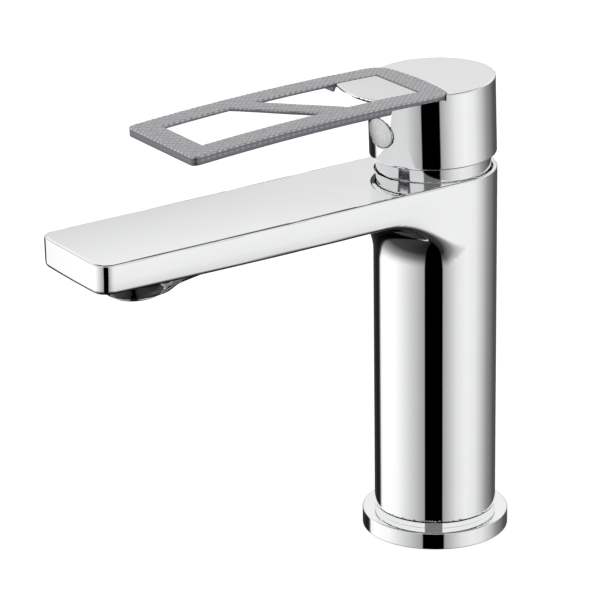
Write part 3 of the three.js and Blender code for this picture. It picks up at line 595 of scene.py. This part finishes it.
def hub_field(x, y, z):
    rho = rod(x, y, 0)
    shell = round_max(rho - HUB_R, HUB_RIM_Z - z, HUB_RIM_EDGE_R)
    shell = round_max(shell, z - (HUB_TOP + HUB_TOP_SLOPE * y), HUB_TOP_EDGE_R)
    top = lever_top(y)
    floor = top - LEVER_SEAT_T - GAP  # of the lever's seat, which is also the tongue's upper face
    under = floor - TONGUE_T
    nose = rho - TONGUE_R + NOSE_UNDERCUT * np.maximum(top - NOSE_DEPTH - z, 0)
    plan = round_max(np.abs(x) - TONGUE_HALF_W, nose, NOSE_CORNER_R)
    blend = round_min(shell, under - z, TONGUE_BLEND_R)
    tongue = round_max(np.maximum(plan, y + TONGUE_REAR), blend, TONGUE_EDGE_R)
    hub = np.minimum(shell, np.maximum(tongue, z - top))
    seat = round_max(np.abs(x) - LEVER_HALF_W - SEAM, rear_edge(x, y) - SEAM, REAR_CORNER_R + SEAM)
    hub = round_max(hub, -np.maximum(seat, floor - z), SEAT_EDGE_R)
    pad = round_max(np.abs(x) - INNER_HALF_W + GAP, nose, PAD_CORNER_R)
    pad = round_max(np.maximum(pad, y - REAR_OPENING_Y + GAP), z - top + PAD_DEPTH, TONGUE_EDGE_R)
    hub = np.minimum(hub, np.maximum(pad, under - z))
    cavity = np.maximum(rho - HUB_WALL_R, z - SOCKET_TOP)
    boss = np.maximum(rho - HUB_BOSS_R, HUB_BOSS_LOW - z)
    socket = np.maximum(np.maximum(np.abs(x), np.abs(y)) - SOCKET_HALF_W, z - SOCKET_TOP)
    screw = np.maximum(rod(x, z - SCREW_Z, SET_SCREW_R), y)
    stem = np.maximum(rod(x, z - SCREW_Z, STEM_R + GAP), y + HUB_WALL_R - STEM_HOLE_PAST)
    pocket = np.maximum(np.maximum(oval(x, z) - SEAM, HUB_R - BUTTON_T - GAP - rho), y)
    frame_screw = np.maximum(rod(np.abs(x) - SCREW_X, y - SCREW_Y, SCREW_HOLE_R), SCREW_HOLE_LOW - z)
    void = np.maximum(cavity, -boss)
    for part in (socket, screw, stem, frame_screw):
        void = np.minimum(void, part)
    return round_max(round_max(hub, -void, HUB_BORE_EDGE_R), -pocket, POCKET_EDGE_R)


HUB_GRID = (
    grid_line(-HUB_R - GRID_MARGIN, (HUB_CELL, HUB_R + GRID_MARGIN)),
    grid_line(-TONGUE_R - GRID_MARGIN, (HUB_CELL, HUB_R + GRID_MARGIN)),
    grid_line(HUB_RIM_Z - GRID_MARGIN, (HUB_CELL, HUB_TOP + 2 * GRID_MARGIN)),
)
field_piece("hub_shell", hub_field, HUB_GRID, PIVOT_FRAME, "chrome", "lever", "handle_hub")

# ---- Lever frame (in the frame of the tilt axis) --------------------------------------------
KNURL_PITCH = 2.12  # along the lever
KNURL_DEPTH = 0.16
FRONT_OPENING_Y = -96.7
BRACE_FRONT_Y = (-71.3, -51.6)  # the slanting brace's front edge, at its -X end and at its +X end
BRACE_REAR_Y = (-62.4, -41.2)
FRONT_OPENING = [(-INNER_HALF_W, FRONT_OPENING_Y), (INNER_HALF_W, FRONT_OPENING_Y),
                 (INNER_HALF_W, BRACE_FRONT_Y[1]), (-INNER_HALF_W, BRACE_FRONT_Y[0])]
REAR_OPENING = [(-INNER_HALF_W, BRACE_REAR_Y[0]), (INNER_HALF_W, BRACE_REAR_Y[1]),
                (INNER_HALF_W, REAR_OPENING_Y), (-INNER_HALF_W, REAR_OPENING_Y)]
OPENING_EDGE_R = 0.1
TIP_CORNER_R = 2.5
TOP_RIM_R, LOW_RIM_R, TRAY_EDGE_R = 0.15, 0.35, 0.15
STEP_W = 0.6  # where the lever gets thinner for its seat
SCREW_END_R, SCREW_COVER = 1.1, 0.7  # blind holes for the two screws, and the metal left above them
LEVER_CELL = 0.28
LEVER_LOW, LEVER_HIGH = 35, 42
# Painted light on the knurl, from 0 for painted shade in a groove to 1 for a painted highlight on a crest.
GROOVE_PAINTED_LIGHT = 0.08
HIGHLIGHT_SPREAD = 0.6  # below 1 it widens the painted highlights on the crests
SIDE_DEPTH, SIDE_FADE = 0.6, 0.2  # the sides, which take painted shade, begin this far below the top
GLINT_LIGHT, GLINT_DEPTH, GLINT_W = 0.3, 1.6, 0.3  # a row of painted glints along the sides


def ridge(t):
    """A row of ridges: 1 on each crest and 0 in each groove."""
    return np.abs((t / KNURL_PITCH) % 1 - 0.5) * 2


def knurl(x, y):
    """Two crossing rows of ridges."""
    return np.minimum(ridge(y + x), ridge(y - x))


def lever_field(x, y, z):
    plan = round_max(np.abs(x) - LEVER_HALF_W, -y - LEVER_TIP, TIP_CORNER_R)
    plan = round_max(plan, rear_edge(x, y), REAR_CORNER_R)
    for opening in (FRONT_OPENING, REAR_OPENING):
        plan = round_max(plan, -outline(x, y, opening), OPENING_EDGE_R)
    height = z - lever_top(y)
    step = np.clip((y - SEAT_FRONT_Y) / STEP_W + 0.5, 0, 1)
    thickness = LEVER_T + (LEVER_SEAT_T - LEVER_T) * step
    lever = round_max(plan, height + KNURL_DEPTH * (1 - knurl(x, y)), TOP_RIM_R)
    lever = round_max(lever, -thickness - height, LOW_RIM_R)
    tray = np.maximum(np.abs(x) - LEVER_HALF_W + LEVER_RIM_W,
                      slab(y, LEVER_RIM_W - LEVER_TIP, SEAT_FRONT_Y - 1))
    tray = np.maximum(tray, height + LEVER_PLATE_T)
    hole = np.maximum(rod(np.abs(x) - SCREW_X, y - SCREW_Y, SCREW_END_R), height + SCREW_COVER)
    return round_max(lever, -np.minimum(tray, hole), TRAY_EDGE_R)


def lever_painted_light(x, y, z):
    """Painted light: highlights on the knurl's crests, shade in its grooves and on the lever's sides, and a row of
    glints along the sides.
    """
    height = z - lever_top(y)
    on_top = np.clip((height + SIDE_DEPTH) / SIDE_FADE, 0, 1)
    top_painted_light = GROOVE_PAINTED_LIGHT + (1 - GROOVE_PAINTED_LIGHT) * knurl(x, y) ** HIGHLIGHT_SPREAD
    side_painted_glints = GLINT_LIGHT * ridge(y) * np.exp(-((height + GLINT_DEPTH) / GLINT_W) ** 2)
    return on_top * top_painted_light + (1 - on_top) * side_painted_glints


LEVER_GRID = (
    grid_line(-LEVER_HALF_W - GRID_MARGIN, (LEVER_CELL, LEVER_HALF_W + GRID_MARGIN)),
    grid_line(-LEVER_TIP - GRID_MARGIN, (LEVER_CELL, REAR_Y + GRID_MARGIN)),
    grid_line(LEVER_LOW, (LEVER_CELL, LEVER_HIGH)),
)
field_piece("lever_grip", lever_field, LEVER_GRID, PIVOT_FRAME, "knurled_metal", "lever", "lever_frame",
            lever_painted_light)

# ---- Index button ---------------------------------------------------------------------------
BUTTON_RISE = 0.15  # of its face over the hub's wall, at the middle
BUTTON_FACE_R = 40
BUTTON_EDGE_R = 0.12
STEM_SHIFT = 0.6  # of the stem's two ends, inwards from the wall's two faces
BUTTON_CELL = 0.2


def button_field(x, y, z):
    rho = rod(x, y, 0)
    face = -y - HUB_R - BUTTON_RISE + (x ** 2 + (z - SCREW_Z) ** 2) / (2 * BUTTON_FACE_R)
    plate = np.maximum(round_max(oval(x, z), face, BUTTON_EDGE_R), HUB_R - BUTTON_T - rho)
    stem = np.maximum(rod(x, z - SCREW_Z, STEM_R), slab(y, -HUB_R + STEM_SHIFT, -HUB_WALL_R + STEM_SHIFT))
    return np.maximum(np.minimum(plate, stem), y)


BUTTON_GRID = (
    grid_line(-BUTTON_HALF_W - GRID_MARGIN, (BUTTON_CELL, BUTTON_HALF_W + GRID_MARGIN)),
    grid_line(-HUB_R - GRID_MARGIN, (BUTTON_CELL, -HUB_WALL_R + 2 * GRID_MARGIN)),
    grid_line(SCREW_Z - BUTTON_HALF_H - GRID_MARGIN, (BUTTON_CELL, SCREW_Z + BUTTON_HALF_H + GRID_MARGIN)),
)
field_piece("button_cap", button_field, BUTTON_GRID, PIVOT_FRAME, "chrome", "lever", "index_button",
            material=SATIN_CHROME)

# ---- Aerator ring (heights from the spout's boss) -------------------------------------------
LIP_R, LIP_TOP = 9.6, -0.3  # the visible cone under the boss
MOUTH_R, MOUTH_Z = 6.5, -1.4
SLEEVE_R, SLEEVE_INNER_R, SLEEVE_TOP = 8.6, 7.2, 6.6
turned_piece("aerator_ring", [
    (MOUTH_R, MOUTH_Z, 0.2), (8.2, MOUTH_Z, 0.3), (LIP_R, -0.6, 0.15), (LIP_R, LIP_TOP, 0.05),
    (SLEEVE_R, LIP_TOP, 0.1), (SLEEVE_R, SLEEVE_TOP, 0.3), (SLEEVE_INNER_R, SLEEVE_TOP, 0.2),
    (SLEEVE_INNER_R, LIP_TOP, 0.1), (MOUTH_R, LIP_TOP, 0.15),
], AERATOR_FRAME, "chrome", "root", "aerator_housing", segments=128)

# ---- Carried-over CAD pieces ----------------------------------------------------------------
for entry in frame["record"]["subparts"]:
    cad = frame["nodes"][entry["node"]]
    cad.data.materials.clear()
    cad.data.materials.append(FINISHES[entry["material_slot"]])

# ---- Camera ---------------------------------------------------------------------------------
AZIMUTH = math.radians(57.656)
ELEVATION = math.radians(19.886)
ROLL = math.radians(-0.826)
TARGET = Vector((-0.01098, -0.04768, 0.08856))
DISTANCE = 1.1
LENS = 196.06
SENSOR_W = 36
forward = Vector((-math.sin(AZIMUTH) * math.cos(ELEVATION), math.cos(AZIMUTH) * math.cos(ELEVATION),
                  -math.sin(ELEVATION)))
level_right = Vector((math.cos(AZIMUTH), math.sin(AZIMUTH), 0))
level_up = level_right.cross(forward)
right = level_right * math.cos(ROLL) + level_up * math.sin(ROLL)
up = level_up * math.cos(ROLL) - level_right * math.sin(ROLL)
camera = bpy.data.objects.new("camera", bpy.data.cameras.new("camera"))
camera.data.lens = LENS
camera.data.sensor_width = SENSOR_W
camera.matrix_world = (Matrix.Translation(TARGET - forward * DISTANCE)
                       @ Matrix((right, up, -forward)).transposed().to_4x4())
bpy.context.scene.collection.objects.link(camera)
bpy.context.scene.camera = camera

# ---- Studio ---------------------------------------------------------------------------------
# The lights are a ring of soft panels around the tap, below eye level, and a band of them above it.
# Angles are in degrees around the tap from the camera's side, positive to the camera's right.
PANEL_RING = [
    (-180, 0.07), (-140, 0.01), (-131, 0.04), (-125, 1.0), (-112, 1.15), (-80, 1.05), (-62, 0.84),
    (-22.5, 0.38), (-21.8, 0.0), (11.5, 0.0), (12.2, 0.37), (20, 0.5), (40, 0.82), (58, 0.93),
    (78, 0.86), (95, 0.6), (112, 0.3), (140, 0.09), (180, 0.07),
]
# Share of the ring's light by the sine of the angle above or below eye level.
RING_BAND = [(-1, 0.03), (-0.8, 0.05), (-0.62, 0.3), (-0.5, 0.68), (-0.4, 0.96), (-0.3, 1.0), (0, 1.0)]
# The black card between the panels reaches up in front of the ceiling, where it is dark grey.
CARD_GAP = [(-180, 1), (-22.5, 1), (-21.8, 0.22), (11.5, 0.22), (12.2, 1), (180, 1)]
CARD_HEIGHT = [(0, 0), (0.42, 0), (0.54, 1), (1, 1)]
CEILING_BAND = [
    (0, 0.4), (0.1, 0.62), (0.28, 0.72), (0.4, 0.9), (0.55, 1.0), (0.68, 0.5), (0.8, 0.12), (1, 0.1),
]
CEILING_LOW, CEILING_FULL = -0.12, 0.08  # the ceiling takes over from the ring between these sines
CURVE_RANGE = 2  # a curve holds values from 0 to 1, so levels are stored divided by this
FLOOR_HALF_W = 3
FLOOR_DROP = 0.0002
FLOOR_GLOW = 0.72


def combine(nodes, links, operation, a, b):
    """A maths node on two inputs, each a number or another node's output."""
    node = nodes.new("ShaderNodeMath")
    node.operation = operation
    for socket, value in zip(node.inputs, (a, b)):
        if isinstance(value, (int, float)):
            socket.default_value = value
        else:
            links.new(value, socket)
    return node.outputs["Value"]


def ramp(nodes, links, source, low, high, stops):
    """Levels that run straight from stop to stop, over an input between low and high."""
    spread = nodes.new("ShaderNodeMapRange")
    spread.inputs["From Min"].default_value = low
    spread.inputs["From Max"].default_value = high
    links.new(source, spread.inputs["Value"])
    node = nodes.new("ShaderNodeFloatCurve")
    curve = node.mapping.curves[0]
    for position, value in stops[1:-1]:
        curve.points.new((position - low) / (high - low), value / CURVE_RANGE)
    curve.points[0].location = (0, stops[0][1] / CURVE_RANGE)
    curve.points[-1].location = (1, stops[-1][1] / CURVE_RANGE)
    for point in curve.points:
        point.handle_type = "VECTOR"
    node.mapping.update()
    links.new(spread.outputs["Result"], node.inputs["Value"])
    return combine(nodes, links, "MULTIPLY", node.outputs["Value"], CURVE_RANGE)


def studio_world():
    """Light by direction; the camera itself sees plain white."""
    world = bpy.data.worlds.new("studio")
    world.use_nodes = True
    nodes, links = world.node_tree.nodes, world.node_tree.links
    background = nodes["Background"]
    coords = nodes.new("ShaderNodeTexCoord")
    turn = nodes.new("ShaderNodeVectorRotate")
    turn.rotation_type = "Z_AXIS"
    turn.inputs["Angle"].default_value = math.pi / 2 - AZIMUTH
    links.new(coords.outputs["Generated"], turn.inputs["Vector"])
    parts = nodes.new("ShaderNodeSeparateXYZ")
    links.new(turn.outputs["Vector"], parts.inputs["Vector"])
    around = combine(nodes, links, "ARCTAN2", parts.outputs["Y"], parts.outputs["X"])
    degrees = combine(nodes, links, "MULTIPLY", around, 180 / math.pi)
    height = parts.outputs["Z"]
    panels = combine(nodes, links, "MULTIPLY", ramp(nodes, links, degrees, -180, 180, PANEL_RING),
                     ramp(nodes, links, height, -1, 0, RING_BAND))
    card = combine(nodes, links, "MAXIMUM", ramp(nodes, links, degrees, -180, 180, CARD_GAP),
                   ramp(nodes, links, height, 0, 1, CARD_HEIGHT))
    ceiling = combine(nodes, links, "MULTIPLY", ramp(nodes, links, height, 0, 1, CEILING_BAND), card)
    above = nodes.new("ShaderNodeMapRange")
    above.interpolation_type = "SMOOTHSTEP"
    above.inputs["From Min"].default_value = CEILING_LOW
    above.inputs["From Max"].default_value = CEILING_FULL
    links.new(height, above.inputs["Value"])
    mixed = nodes.new("ShaderNodeMix")
    links.new(above.outputs["Result"], mixed.inputs["Factor"])
    links.new(panels, mixed.inputs["A"])
    links.new(ceiling, mixed.inputs["B"])
    seen = nodes.new("ShaderNodeLightPath")
    shown = nodes.new("ShaderNodeMix")
    links.new(seen.outputs["Is Camera Ray"], shown.inputs["Factor"])
    links.new(mixed.outputs["Result"], shown.inputs["A"])
    shown.inputs["B"].default_value = 1.0
    links.new(shown.outputs["Result"], background.inputs["Strength"])
    background.inputs["Color"].default_value = (1, 1, 1, 1)
    bpy.context.scene.world = world


def studio_floor():
    """A white floor just under the tap, which its metal doesn't mirror."""
    mesh = bpy.data.meshes.new("floor")
    half = FLOOR_HALF_W
    mesh.from_pydata([(-half, -half, 0), (half, -half, 0), (half, half, 0), (-half, half, 0)], [],
                     [(0, 1, 2, 3)])
    material = bpy.data.materials.new("floor")
    material.use_nodes = True
    shader = material.node_tree.nodes["Principled BSDF"]
    shader.inputs["Base Color"].default_value = (0.9, 0.9, 0.9, 1)
    shader.inputs["Roughness"].default_value = 0.9
    shader.inputs["Emission Color"].default_value = (1, 1, 1, 1)
    shader.inputs["Emission Strength"].default_value = FLOOR_GLOW
    mesh.materials.append(material)
    floor = bpy.data.objects.new("floor", mesh)
    floor.location.z = -FLOOR_DROP
    floor.visible_glossy = False
    bpy.context.scene.collection.objects.link(floor)


studio_world()
studio_floor()
bpy.context.scene.view_settings.view_transform = "Standard"
